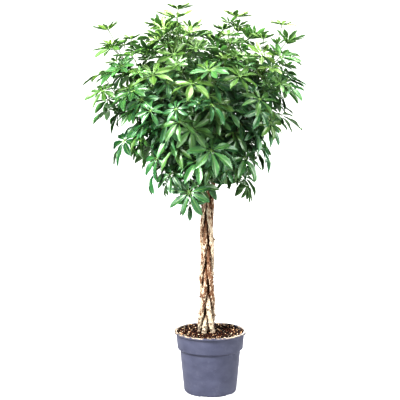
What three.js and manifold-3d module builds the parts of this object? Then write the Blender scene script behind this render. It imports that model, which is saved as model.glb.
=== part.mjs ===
// A braided umbrella tree in a plastic nursery pot.
// Units are millimetres and +Z is up. The origin is the middle of the pot's flat underside, and
// -Y is the side that faces the viewer. Five stems are plaited into one trunk. Each stem divides
// into woody branches, and each branch carries one green leafy shoot. A leaf is a stalk with its
// leaflets spread like the ribs of an umbrella.
import * as THREE from 'three';
import { mergeVertices } from 'three/addons/utils/BufferGeometryUtils.js';
import Module from 'manifold-3d';

const wasm = await Module();
wasm.setup();
const { Manifold, Mesh: SolidMesh } = wasm;

const fullTurn = 2 * Math.PI;
const goldenAngle = Math.PI * (3 - Math.sqrt(5));
const up = new THREE.Vector3(0, 0, 1);

// Driving dimensions.
const pot = {
  height: 240,
  lipRadius: 140,
  lipHeight: 8,
  lipRound: 2.5,
  wall: 2.6,
  floor: 3,
  base: { radius: 98, z: 0 },
  corner: { radius: 102, z: 6 },
  bodyTop: { radius: 117.5, z: 157 },
  collarBottom: { radius: 127, z: 170 },
  collarTop: { radius: 132.5, z: 232 },
  sides: 24,
  notches: 6,
  notchTurn: -1.83, // one drainage notch faces the viewer, a little to the left
  notch: { width: 28, depth: 14, height: 4, radius: 98 },
};
const soil = { top: 233, edgeDrop: 5, gap: 0.3, rings: [64], lump: 2.2, lumpLength: 58 };
const trunk = {
  x: -13,
  stems: 5,
  sunk: 75,
  splitHeight: 745,
  leaderTop: 1150,
  plaitLength: 930,
  plaitTurn: -0.52,
  halfWidth: { soil: 19.5, split: 16.8 },
  sway: 0.1, // keeps a stem longer at the side of the plait
  baseSpread: 0.3,
  baseSpreadHeight: 110,
  leaderReach: 78,
  radius: { soil: 8.9, split: 7.6, top: 5 },
  sides: 6,
  steps: 24,
  plaitedSteps: 18,
};
const crown = {
  lean: -32, // the crown's middle stands left of the trunk's
  shoots: 24,
  lowest: 856,
  highest: 1365,
  heightPower: 0.66,
  // [height, radius] of the surface that the shoot tips lie on
  outline: [
    [820, 50],
    [870, 105],
    [930, 130],
    [1000, 135],
    [1050, 165],
    [1090, 240],
    [1130, 305],
    [1190, 336],
    [1270, 316],
    [1325, 250],
    [1370, 40],
  ],
  firstTurn: -1.95,
};
const branch = {
  rise: 0.8, // height gained over the shoot tip's distance from the crown's middle
  droop: 0.13,
  woodShare: 0.46,
  startRadius: 4.3,
  endRadius: 3.2,
  sides: 4,
  steps: 2,
};
const shoot = { tipRadius: 2.2, sides: 4, steps: 2, gap: 0.3 };
const leaf = {
  perShoot: 5,
  leaflets: 5,
  youngLeaflets: 4, // on the leaf at each shoot's tip
  length: 98,
  lengthSpread: 12,
  halfWidth: 0.235, // this and the next two are shares of the leaflet's length
  widestAt: 0.63,
  notchAt: 0.17,
  fold: 0.045,
  thickness: 1,
  lowestAt: 0.55, // where the first leaf leaves the shoot, as a share of its length
  stalkLength: 118,
  stalkSpread: 30,
  stalkRadius: 1.5,
  knuckle: 2,
  clearance: 1.4,
  crowded: 0.35, // share of a stalk that may touch the other stalks of its shoot
  tries: 40,
};
const seed = 7.31;

// A repeatable draw from 0 to 1 for two whole numbers.
function draw(a, b) {
  const x = Math.sin(a * 127.1 + b * 311.7 + seed) * 43758.5453;
  return x - Math.floor(x);
}

function mix(a, b, t) {
  return a + (b - a) * t;
}

function smooth(t) {
  const c = Math.min(1, Math.max(0, t));
  return c * c * (3 - 2 * c);
}

// Solids.
function solidFrom(vertices, triangles) {
  return new Manifold(
    new SolidMesh({
      numProp: 3,
      vertProperties: new Float32Array(vertices),
      triVerts: new Uint32Array(triangles),
    }),
  );
}

function solidOf(geometry) {
  const bare = geometry.clone();
  bare.deleteAttribute('normal');
  bare.deleteAttribute('uv');
  const merged = mergeVertices(bare, 1e-3);
  return solidFrom(merged.attributes.position.array, merged.index.array);
}

function geometryOf(solid) {
  const mesh = solid.getMesh();
  return new THREE.BufferGeometry()
    .setAttribute('position', new THREE.BufferAttribute(new Float32Array(mesh.vertProperties), 3))
    .setIndex(new THREE.BufferAttribute(new Uint32Array(mesh.triVerts), 1));
}

// Flat list of numbers from a list of points.
function numbers(points) {
  return points.flatMap((point) => point.toArray());
}

// Two triangles for each side between a ring of corners that starts at index a and the next ring.
function sleeve(a, sides) {
  return Array.from({ length: sides }, (_, k) => {
    const p = a + k;
    const q = a + ((k + 1) % sides);
    return [p, q, q + sides, p, q + sides, p + sides];
  }).flat();
}

// A ring of points round a centre, square to the normal. The first lies on across x normal.
function ring(centre, normal, across, radius, sides) {
  const second = across.clone().addScaledVector(normal, -across.dot(normal)).normalize();
  const first = new THREE.Vector3().crossVectors(second, normal);
  return Array.from({ length: sides }, (_, k) => {
    const turn = (k / sides) * fullTurn;
    return centre
      .clone()
      .addScaledVector(first, radius * Math.cos(turn))
      .addScaledVector(second, radius * Math.sin(turn));
  });
}

// A bar along a curve. Its radius follows radiusAt(share), and both ends are flat.
function taperedBar(curve, radiusAt, sides, steps) {
  const frames = curve.computeFrenetFrames(steps);
  const points = frames.tangents.flatMap((tangent, s) =>
    ring(curve.getPoint(s / steps), tangent, frames.binormals[s], radiusAt(s / steps), sides),
  );
  const triangles = [];
  for (let s = 0; s < steps; s++) triangles.push(...sleeve(s * sides, sides));
  for (let k = 1; k < sides - 1; k++) {
    const last = steps * sides;
    triangles.push(0, k + 1, k, last, last + k, last + k + 1);
  }
  return solidFrom(numbers(points), triangles);
}

// Turned about Z from a profile of [radius, height] pairs.
function turned(profile, sides) {
  const points = profile.map(([radius, z]) => new THREE.Vector2(radius, z));
  return new THREE.LatheGeometry(points, sides).rotateX(Math.PI / 2);
}

// Pot: a draughted body, a step out to a wider collar, a rolled lip, and drainage notches in the foot.
function innerWall(inset, floorZ) {
  return [
    [pot.corner.radius - inset, floorZ],
    [pot.bodyTop.radius - inset, pot.bodyTop.z],
    [pot.collarBottom.radius - inset, pot.collarBottom.z],
  ];
}

function makePot() {
  const bore = pot.collarTop.radius - pot.wall;
  const lipBottom = pot.height - pot.lipHeight;
  const profile = [
    [0, 0],
    [pot.base.radius, pot.base.z],
    [pot.corner.radius, pot.corner.z],
    [pot.bodyTop.radius, pot.bodyTop.z],
    [pot.collarBottom.radius, pot.collarBottom.z],
    [pot.collarTop.radius, lipBottom],
    [pot.lipRadius, lipBottom],
    [pot.lipRadius, pot.height - pot.lipRound],
    [pot.lipRadius - pot.lipRound, pot.height],
    [bore, pot.height],
    ...innerWall(pot.wall, pot.corner.z).reverse(),
    [pot.base.radius - pot.wall, pot.floor],
    [0, pot.floor],
  ];
  const { width, depth, height, radius } = pot.notch;
  return Array.from({ length: pot.notches }, (_, k) => {
    const turn = pot.notchTurn + (k / pot.notches) * fullTurn;
    const cutter = new THREE.BoxGeometry(depth, width, 2 * height)
      .rotateZ(turn)
      .translate(radius * Math.cos(turn), radius * Math.sin(turn), 0);
    return solidOf(cutter);
  }).reduce((body, cutter) => body.subtract(cutter), solidOf(turned(profile, pot.sides)));
}

// Soil: fills the pot, with low lumps on top and a hole round each stem.
function lump(x, y) {
  const k = fullTurn / soil.lumpLength;
  return soil.lump * Math.sin(k * x + 0.7) * Math.cos(k * 1.31 * y - 0.4);
}

function makeSoil() {
  const inset = pot.wall + soil.gap;
  const edge = mix(pot.collarBottom.radius, pot.collarTop.radius, 0.8) - inset;
  const edgeZ = soil.top - soil.edgeDrop;
  const profile = [
    [0, pot.floor + soil.gap],
    [pot.base.radius - inset, pot.floor + soil.gap],
    ...innerWall(inset, pot.corner.z + soil.gap),
    [edge, edgeZ],
    ...soil.rings.map((r) => [r, mix(soil.top, edgeZ, (r / edge) ** 2)]).reverse(),
    [0, soil.top],
  ];
  const geometry = turned(profile, pot.sides);
  const points = geometry.attributes.position;
  for (let k = 0; k < points.count; k++) {
    const [x, y, z] = [points.getX(k), points.getY(k), points.getZ(k)];
    const onTop = z > edgeZ + 0.1;
    if (onTop) points.setZ(k, z + lump(x, y));
  }
  return solidOf(geometry);
}

// Trunk: each stem swings from side to side as a sine, and from front to back twice as often.
// Above the split the plaiting stops, and the stems lean apart as the crown's leaders.
class StemCurve extends THREE.Curve {
  constructor(index, bottom) {
    super();
    Object.assign(this, { index, bottom });
  }

  // Most of the curve's steps lie in the plaited stretch.
  heightAt(share) {
    const plaited = trunk.plaitedSteps / trunk.steps;
    if (share < plaited) return mix(this.bottom, trunk.splitHeight, share / plaited);
    return mix(trunk.splitHeight, trunk.leaderTop, (share - plaited) / (1 - plaited));
  }

  getPoint(share, target = new THREE.Vector3()) {
    return target.copy(stemPoint(this.index, this.heightAt(share)));
  }
}

function crownAxis(z) {
  return trunk.x + crown.lean * smooth((z - trunk.splitHeight) / 350);
}

function upTrunk(z) {
  return (z - soil.top) / (trunk.splitHeight - soil.top);
}

function upLeader(z) {
  return Math.max(0, (z - trunk.splitHeight) / (trunk.leaderTop - trunk.splitHeight));
}

function stemPoint(index, z) {
  const plaited = Math.min(z, trunk.splitHeight);
  const turns = index / trunk.stems + (plaited - soil.top) / trunk.plaitLength;
  const turn = trunk.plaitTurn + turns * fullTurn;
  const nearSoil = 1 - smooth((z - soil.top) / trunk.baseSpreadHeight);
  const width = mix(trunk.halfWidth.soil, trunk.halfWidth.split, smooth(upTrunk(z)));
  const spread = width * (1 + trunk.baseSpread * nearSoil) + trunk.leaderReach * upLeader(z) ** 1.3;
  return new THREE.Vector3(
    crownAxis(z) + spread * (Math.sin(turn) - trunk.sway * Math.sin(3 * turn)),
    spread * Math.sin(2 * turn),
    z,
  );
}

function stemRadius(z) {
  const plaited = mix(trunk.radius.soil, trunk.radius.split, smooth(upTrunk(z)));
  return z < trunk.splitHeight ? plaited : mix(trunk.radius.split, trunk.radius.top, upLeader(z));
}

function stemBar(index, extra = 0) {
  const curve = new StemCurve(index, soil.top - trunk.sunk - extra);
  const radiusAt = (share) => stemRadius(curve.heightAt(share)) + extra;
  return taperedBar(curve, radiusAt, trunk.sides, trunk.steps);
}

// Crown: the shoot tips lie on a turned surface, a golden angle apart.
function crownRadius(z) {
  const above = Math.max(1, crown.outline.findIndex(([height]) => height > z));
  const [low, high] = [crown.outline[above - 1], crown.outline[above]];
  return mix(low[1], high[1], (z - low[0]) / (high[0] - low[0]));
}

function nearestStem(tip) {
  const distances = Array.from({ length: trunk.stems }, (_, index) => {
    const end = stemPoint(index, trunk.leaderTop);
    return Math.hypot(end.x - tip.x, end.y - tip.y);
  });
  return distances.indexOf(Math.min(...distances));
}

function shootPlan(i) {
  const share = (i + 0.5) / crown.shoots;
  const z = mix(crown.lowest, crown.highest, share ** crown.heightPower);
  const radius = crownRadius(z) * mix(0.9, 1.06, draw(i, 1));
  const turn = crown.firstTurn + i * goldenAngle;
  const tip = new THREE.Vector3(
    crownAxis(z) + radius * Math.cos(turn),
    radius * Math.sin(turn),
    z,
  );
  const stem = nearestStem(tip);
  const start = stemPoint(stem, Math.min(trunk.leaderTop - 10, z - Math.max(60, branch.rise * radius)));
  const reach = tip.clone().sub(start);
  const bend = start
    .clone()
    .addScaledVector(reach, 0.55)
    .addScaledVector(up, -branch.droop * reach.length());
  return { share, stem, curve: new THREE.QuadraticBezierCurve3(start, bend, tip) };
}

// The stretch of a curve between two shares, as a curve of its own.
class Stretch extends THREE.Curve {
  constructor(curve, from, to) {
    super();
    Object.assign(this, { curve, from, to });
  }

  getPoint(share, target = new THREE.Vector3()) {
    return this.curve.getPoint(mix(this.from, this.to, share), target);
  }
}

function branchBar(plan) {
  const radiusAt = (share) => mix(branch.startRadius, branch.endRadius, share);
  return taperedBar(new Stretch(plan.curve, 0, branch.woodShare), radiusAt, branch.sides, branch.steps);
}

function twigBar(plan) {
  const start = branch.woodShare + shoot.gap / plan.curve.getLength();
  const radiusAt = (share) => mix(branch.endRadius, shoot.tipRadius, share);
  return taperedBar(new Stretch(plan.curve, start, 1), radiusAt, shoot.sides, shoot.steps);
}

// Leaf k of shoot i, tried for the c-th time. Each new try turns the leaf a little further round
// its shoot, to one side and then to the other, and draws it in.
function leafPlan(plan, i, k, c) {
  const rank = k / (leaf.perShoot - 1);
  const along = mix(leaf.lowestAt, 0.985, rank);
  const root = plan.curve.getPoint(along);
  const axis = plan.curve.getTangent(along);
  const outward = new THREE.Vector3(root.x - crownAxis(root.z), root.y, 0).normalize();
  const side = new THREE.Vector3().crossVectors(axis, outward).normalize();
  const front = new THREE.Vector3().crossVectors(side, axis);
  const nudge = Math.ceil(c / 2) * (c % 2 ? 1 : -1);
  const turn = k * goldenAngle + 0.8 * draw(i, 10 + k) + 0.16 * nudge;
  const spread = mix(1.25, 0.4, rank) + 0.12 * Math.sin(2.4 * c);
  const stalk = new THREE.Vector3()
    .addScaledVector(side, Math.sin(spread) * Math.sin(turn))
    .addScaledVector(front, Math.sin(spread) * Math.cos(turn))
    .addScaledVector(axis, Math.cos(spread))
    .addScaledVector(outward, mix(0.5, 0.15, plan.share))
    .addScaledVector(up, mix(-0.32, 0.35, smooth(1.2 * plan.share)))
    .normalize();
  const reach = (leaf.stalkLength + leaf.stalkSpread * (draw(i, 30 + k) - 0.5)) * (1 - 0.01 * c);
  const facing = stalk
    .clone()
    .addScaledVector(up, mix(0.7, 1.1, plan.share) + 0.6 * draw(i, 110 + k))
    .addScaledVector(outward, mix(0.3, 0.05, plan.share))
    .normalize();
  const forward = stalk.clone().addScaledVector(facing, -stalk.dot(facing)).normalize();
  return {
    root,
    bend: root.clone().addScaledVector(stalk, 0.5 * reach).addScaledVector(axis, 7),
    hub: root.clone().addScaledVector(stalk, reach),
    facing,
    forward,
    across: new THREE.Vector3().crossVectors(facing, forward),
    leaflets: rank < 1 ? leaf.leaflets : leaf.youngLeaflets,
    length: leaf.length + leaf.lengthSpread * (2 * draw(i, 50 + k) - 1) - 12 * rank,
    droop: mix(0.55, -0.15, plan.share) + 0.2 * (draw(i, 70 + k) - 0.5),
    twist: draw(i, 90 + k) * fullTurn + 0.4 * c,
  };
}

// A point of the leaf's middle surface. It falls away from the hub as a shallow umbrella low in the
// crown, and rises as a shallow cup at its top.
function bladePoint(p, radius, turn, lift) {
  const share = radius / p.length;
  const inPlane = radius * (1 - 0.2 * Math.abs(p.droop) * share);
  return p.hub
    .clone()
    .addScaledVector(p.forward, inPlane * Math.cos(turn))
    .addScaledVector(p.across, inPlane * Math.sin(turn))
    .addScaledVector(p.facing, lift * p.length - p.droop * radius * (0.35 + 0.65 * share));
}

// The leaf's edge: for each leaflet the notch before it, its two widest points and its tip.
function leafEdge(p) {
  const step = fullTurn / p.leaflets;
  const wide = Math.atan(leaf.halfWidth / leaf.widestAt);
  return Array.from({ length: p.leaflets }, (_, k) => {
    const turn = k * step + p.twist;
    const length = p.length * mix(0.8, 1, 0.5 + 0.5 * Math.cos(turn));
    return [
      bladePoint(p, leaf.notchAt * length, turn - step / 2, 0),
      bladePoint(p, leaf.widestAt * length, turn - wide, leaf.fold),
      bladePoint(p, length, turn, 0),
      bladePoint(p, leaf.widestAt * length, turn + wide, leaf.fold),
    ];
  }).flat();
}

// A leaf as one body: the upper face is a fan from the hub, the lower face is the same fan round
// the top of the three-sided stalk, and the stalk runs down into its shoot. The stalk may start
// part of the way up, and the whole may be grown, to test for room.
function leafSolid(p, grown = 0, start = 0) {
  const edge = leafEdge(p);
  const n = edge.length;
  const half = p.facing.clone().multiplyScalar((leaf.thickness + grown) / 2);
  const radius = leaf.stalkRadius + grown / 2;
  const path = new THREE.QuadraticBezierCurve3(p.root, p.bend, p.hub);
  const top = p.hub.clone().sub(half).addScaledVector(p.facing, -leaf.knuckle);
  const middle = mix(start, 1, 0.5);
  const points = [
    p.hub.clone().add(half),
    ...edge.map((point) => point.clone().add(half)),
    ...edge.map((point) => point.clone().sub(half)),
    ...ring(path.getPoint(start), path.getTangent(start), p.across, radius, 3),
    ...ring(path.getPoint(middle), path.getTangent(middle), p.across, radius, 3),
    ...ring(top, p.facing, p.across, radius, 3),
  ];
  const below = 1 + n;
  const foot = below + n;
  const collar = foot + 6;
  const triangles = [foot, foot + 2, foot + 1, ...sleeve(foot, 3), ...sleeve(foot + 3, 3)];
  const corner = (k) => {
    const turn = turnOf(p, edge[k % n], edge[(k + 1) % n]);
    return collar + (Math.round((3 * turn) / fullTurn) % 3);
  };
  for (let k = 0; k < n; k++) {
    const next = (k + 1) % n;
    triangles.push(0, 1 + k, 1 + next, 1 + k, below + k, below + next, 1 + k, below + next, 1 + next);
    triangles.push(below + next, below + k, corner(k));
    if (corner(k) !== corner(k + 1)) triangles.push(below + next, corner(k), corner(k + 1));
  }
  return solidFrom(numbers(points), triangles);
}

// The turn round the hub, from 0 to a full turn, of the middle between two points.
function turnOf(p, a, b) {
  const offset = a.clone().add(b).multiplyScalar(0.5).sub(p.hub);
  const turn = Math.atan2(offset.dot(p.across), offset.dot(p.forward));
  return turn < 0 ? turn + fullTurn : turn;
}

function boxesMeet(a, b) {
  return [0, 1, 2].every((k) => a.min[k] <= b.max[k] && b.min[k] <= a.max[k]);
}

function solidsMeet(a, b) {
  return boxesMeet(a.boundingBox(), b.boundingBox()) && !a.intersect(b).isEmpty();
}

// Leaves are placed one round of the shoots at a time, the tip's leaf first. A leaf that would cross
// a stem, a shoot or another leaf takes its next try, and is left out if it has no room.
function placeLeaves(plans, stems, twigs) {
  const placed = [];
  for (let k = leaf.perShoot - 1; k >= 0; k--) {
    plans.forEach((plan, i) => {
      for (let c = 0; c < leaf.tries; c++) {
        const shape = leafPlan(plan, i, k, c);
        const whole = leafSolid(shape, leaf.clearance);
        const upper = leafSolid(shape, leaf.clearance, leaf.crowded);
        const meetsLeaf = (other) =>
          other.i === i ? solidsMeet(upper, other.upper) : solidsMeet(whole, other.whole);
        const blocked =
          stems.some((stem) => solidsMeet(whole, stem)) ||
          twigs.some((twig, j) => solidsMeet(j === i ? upper : whole, twig)) ||
          placed.some(meetsLeaf);
        if (!blocked) {
          placed.push({ i, shape, whole, upper });
          return;
        }
      }
    });
  }
  return plans.map((_, i) => placed.filter((other) => other.i === i).map(({ shape }) => shape));
}

// Materials.
function material(color, roughness) {
  return new THREE.MeshStandardMaterial({ color, roughness, metalness: 0 });
}

const materials = {
  pot: material(0x6c6f8c, 0.5),
  soil: material(0x5a4030, 0.95),
  bark: material(0xc2a07e, 0.85),
  leaf: material(0x3f7d3a, 0.4),
};

const tree = new THREE.Group();

function addPart(name, solid, finish) {
  const mesh = new THREE.Mesh(geometryOf(solid), finish);
  mesh.name = name;
  tree.add(mesh);
}

const stemIndices = Array.from({ length: trunk.stems }, (_, index) => index);
const plans = Array.from({ length: crown.shoots }, (_, i) => shootPlan(i));
const stems = stemIndices.map((index) => {
  const branches = plans.filter((plan) => plan.stem === index).map(branchBar);
  return Manifold.union([stemBar(index), ...branches]);
});
const twigs = plans.map(twigBar);
const shoots = placeLeaves(plans, stems, twigs);
const stemHoles = Manifold.union(stemIndices.map((index) => stemBar(index, soil.gap)));

addPart('pot', makePot(), materials.pot);
addPart('soil', makeSoil().subtract(stemHoles), materials.soil);
stems.forEach((solid, index) => addPart(`stem_${index + 1}`, solid, materials.bark));
twigs.forEach((twig, i) => {
  const number = String(i + 1).padStart(2, '0');
  const leaves = shoots[i].map((shape) => leafSolid(shape));
  addPart(`leafy_shoot_${number}`, Manifold.union([twig, ...leaves]), materials.leaf);
});

export default tree;
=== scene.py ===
# A potted umbrella plant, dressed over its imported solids: a moulded pot, potting soil, five plaited
# stems, and leafy shoots. Sizes are in millimetres, and a mesh is turned to metres as it is made.
import math
from functools import partial
from itertools import permutations
import bpy
import numpy as np
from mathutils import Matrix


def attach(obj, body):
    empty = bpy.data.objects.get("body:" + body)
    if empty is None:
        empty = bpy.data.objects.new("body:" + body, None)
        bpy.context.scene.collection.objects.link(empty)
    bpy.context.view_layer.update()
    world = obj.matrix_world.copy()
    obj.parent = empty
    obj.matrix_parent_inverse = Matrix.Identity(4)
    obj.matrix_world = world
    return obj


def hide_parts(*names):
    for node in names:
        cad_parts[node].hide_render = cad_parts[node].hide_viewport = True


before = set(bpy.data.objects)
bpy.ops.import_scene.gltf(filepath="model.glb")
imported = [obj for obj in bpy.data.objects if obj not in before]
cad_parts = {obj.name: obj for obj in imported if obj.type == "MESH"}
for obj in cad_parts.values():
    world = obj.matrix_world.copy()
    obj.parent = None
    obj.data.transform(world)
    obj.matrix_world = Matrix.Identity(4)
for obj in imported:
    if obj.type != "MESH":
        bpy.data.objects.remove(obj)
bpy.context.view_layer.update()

millimetre = 0.001
fullTurn = 2 * math.pi
goldenAngle = math.pi * (3 - math.sqrt(5))
up = np.array([0.0, 0.0, 1.0])
toViewer = np.array([0.0, -1.0, 0.0])
growthSeed = 7.31


# small sums

def mix(a, b, t):
    return a + (b - a) * t


def smooth(t):
    c = np.clip(t, 0, 1)
    return c * c * (3 - 2 * c)


def unit(v):
    return v / np.maximum(np.linalg.norm(v, axis=-1, keepdims=True), 1e-9)


# the part of a direction that lies square to a unit vector, made one long
def squareTo(n, v):
    return unit(v - np.sum(v * n, axis=-1, keepdims=True) * n)


# arrays that fit one another's shape, side by side along a new last axis
def together(*parts):
    return np.stack(np.broadcast_arrays(*parts), axis=-1)


# equal turns round a circle
def turnsOf(count):
    return np.arange(count) / count * fullTurn


# points round the Z axis, from their distance, turn and height
def around(radius, turn, height):
    return together(radius * np.cos(turn), radius * np.sin(turn), height)


# a quadratic Bezier curve at each share t: its start, bend and end, weighted by (1-t)^2, 2t(1-t) and
# t^2. The path may be a block of paths.
def bezier(path, t):
    t = np.asarray(t, float)[..., None]
    start, bend, end = (path[..., None, k, :] for k in range(3))
    return (1 - t) ** 2 * start + 2 * t * (1 - t) * bend + t ** 2 * end


def bezierTangent(path, t):
    return unit(2 * (1 - t) * (path[1] - path[0]) + 2 * t * (path[2] - path[1]))


# the solids' own repeatable draw from 0 to 1 for two whole numbers
def growthDraw(a, b):
    x = math.sin(a * 127.1 + b * 311.7 + growthSeed) * 43758.5453
    return x - math.floor(x)


noiseTable = np.random.default_rng(11).random(4096)
noiseSteps = np.array([1619, 31337, 6971])


# lattice noise: random values at whole coordinates, blended smoothly between them, in three dimensions
def latticeNoise(p):
    cell = np.floor(p).astype(np.int64)
    part = smooth(p - cell)
    total = np.zeros(p.shape[:-1])
    for corner in np.ndindex(2, 2, 2):
        key = ((cell + np.array(corner)) @ noiseSteps) % len(noiseTable)
        weight = np.prod(np.where(np.array(corner), part, 1 - part), axis=-1)
        total += noiseTable[key] * weight
    return total


# three sizes of lattice noise added up, each half as strong and twice as fine, about zero
def roughness3(p):
    return sum((latticeNoise(p * 2 ** k + 17.3 * k) - 0.5) / 2 ** k for k in range(3))


# meshes: a surface is a block of grids, points[grid, row, column], whose columns close into a loop and
# whose first and last rows are each closed by one flat face. info is a colour for each point, under is
# 1 on a leaf's lower side, and slot picks the material.

def gridFaces(grids, rows, columns, start):
    corner = np.arange(grids * rows * columns).reshape(grids, rows, columns) + start
    beside = np.roll(corner, -1, axis=2)
    quads = np.stack([corner[:, :-1], beside[:, :-1], beside[:, 1:], corner[:, 1:]], axis=-1)
    ends = np.concatenate([corner[:, 0, ::-1], corner[:, -1]])
    return quads.reshape(-1, 4), ends


def addObject(name, data):
    thing = bpy.data.objects.new(name, data)
    bpy.context.scene.collection.objects.link(thing)
    return thing


# a finished mesh becomes a piece of the plant's one body, and may stand for a node of the solids
def addPiece(name, mesh, materials, node=None):
    for material in materials:
        mesh.materials.append(material)
    piece = addObject(name, mesh)
    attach(piece, "root")
    if node:
        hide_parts(node)


# the values of a list of arrays, end to end
def joined(parts, kind=np.float32):
    return np.concatenate([np.ravel(part) for part in parts]).astype(kind)


def makePiece(name, surfaces, materials, node, sharpAngle):
    points, info, under, loops, sizes, slots = [], [], [], [], [], []
    count = 0
    for surface in surfaces:
        grid = surface["points"]
        grids, rows, columns = grid.shape[:3]
        quads, ends = gridFaces(grids, rows, columns, count)
        count += grids * rows * columns
        points.append(grid * millimetre)
        info.append(surface.get("info", np.zeros(grid.shape[:3] + (4,))))
        under += [surface.get("under", np.zeros(len(quads))), np.zeros(len(ends))]
        loops += [quads, ends]
        sizes += [np.full(len(quads), 4), np.full(len(ends), columns)]
        slots.append(np.full(len(quads) + len(ends), surface.get("slot", 0)))
    loops, sizes, slots = (joined(parts, np.int32) for parts in (loops, sizes, slots))
    starts = (np.cumsum(sizes) - sizes).astype(np.int32)
    mesh = bpy.data.meshes.new(name)
    mesh.vertices.add(count)
    mesh.vertices.foreach_set("co", joined(points))
    mesh.loops.add(len(loops))
    mesh.loops.foreach_set("vertex_index", loops)
    mesh.polygons.add(len(sizes))
    mesh.polygons.foreach_set("loop_start", starts)
    mesh.polygons.foreach_set("loop_total", sizes)
    mesh.polygons.foreach_set("material_index", slots)
    mesh.polygons.foreach_set("use_smooth", np.ones(len(sizes), dtype=bool))
    mesh.attributes.new("info", "FLOAT_COLOR", "POINT").data.foreach_set("color", joined(info))
    mesh.attributes.new("under", "FLOAT", "FACE").data.foreach_set("value", joined(under))
    mesh.update(calc_edges=True)
    mesh.set_sharp_from_angle(angle=math.radians(sharpAngle))
    addPiece(name, mesh, materials, node)


# A tube: circles round a path, each square to it. The path may be a block of paths, and the radius
# has a value for each row, or for each row and side.
def tubeGrid(path, radius, reference, sides):
    along = unit(np.gradient(path, axis=-2))
    second = squareTo(along, reference)
    first = np.cross(second, along)
    turn = turnsOf(sides)[:, None]
    circle = first[..., None, :] * np.cos(turn) + second[..., None, :] * np.sin(turn)
    return path[..., None, :] + circle * radius[..., None]


# materials

def linearColour(hexColour):
    s = np.array([int(hexColour[k:k + 2], 16) / 255 for k in (1, 3, 5)])
    linear = np.where(s <= 0.04045, s / 12.92, ((s + 0.055) / 1.055) ** 2.4)
    return (*linear.tolist(), 1.0)


# a texture's Scale that draws its pattern at a size in millimetres
def patternScale(size):
    return 1 / (size * millimetre)


# Adds a node, sets its settings, fills or links its sockets, and lays ramp stops. Sockets come as a
# list from the first one on, or by name or number. A node given for one stands for its output in use.
def addNode(tree, kind, sockets=(), stops=(), **settings):
    node = tree.nodes.new("ShaderNode" + kind)
    for key, value in settings.items():
        setattr(node, key, value)
    for key, value in sockets.items() if isinstance(sockets, dict) else enumerate(sockets):
        if isinstance(value, bpy.types.Node):
            value = next(output for output in value.outputs if output.enabled)
        if isinstance(value, bpy.types.NodeSocket):
            tree.links.new(value, node.inputs[key])
        else:
            node.inputs[key].default_value = linearColour(value) if isinstance(value, str) else value
    if stops:
        ramp = node.color_ramp.elements
        while len(ramp) < len(stops):
            ramp.new(0.5)
        for element, (share, colour) in zip(ramp, stops):
            element.position = share
            element.color = linearColour(colour)
    return node


# empties the tree of a material or a world, and gives addNode for it
def emptyTree(owner):
    owner.use_nodes = True
    owner.node_tree.nodes.clear()
    return partial(addNode, owner.node_tree)


# a new material, addNode for its tree, and the object's own coordinates
def newMaterial(name):
    material = bpy.data.materials.new(name)
    add = emptyTree(material)
    return material, add, add("TexCoord").outputs["Object"]


# The last nodes of a finish. bump is a strength and a depth in mm, and sunken turns its height over.
def finishMaterial(add, colour, roughness, height, bump, constants, sunken=False):
    strength, depth = bump
    relief = {"Height": height, "Strength": strength, "Distance": depth * millimetre}
    sockets = {"Base Color": colour, "Roughness": roughness, "Normal": add("Bump", relief, invert=sunken)}
    add("OutputMaterial", {"Surface": add("BsdfPrincipled", {**sockets, **constants})})


leafLook = {
    "old": "#003620", "oldBright": "#3f7148", "young": "#4b6802", "youngBright": "#70844f",
    # under, the underside's paler green, is partly its own colour and partly a painted glow of light through
    # the leaf
    "rib": "#8aa653", "under": "#648f55", "stalk": "#6c8a4a",
    "blotch": 1000 / 38,  # mm across a paler or darker patch, 38 to the metre
    "tone": (0.35, 1.45),  # a leaf's tint and its patches added up, from all dark to all bright
    "ripple": 5.4,  # mm; a real leaf's cells are far finer, and are drawn this coarse to show
    "ribEdge": (0.09, 0.03),  # shares of the half width where the midrib starts and is full
    "ribTone": (0.15, 0.8),  # its strength at the tip and in the lower third
    "sideVeins": 9, "veinSlant": 0.16, "veinTone": 0.16, "veinDepth": 0.6,
    "veinStart": 0.8,  # a side vein shows where its wave is higher than this
    "stalkEnd": (0.17, 0.1),  # shares of the length where the leaflet's own stalk starts and is full
    "underTone": 0.7, "roughness": (0.46, 0.6), "bump": (0.35, 0.6),
}
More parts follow.
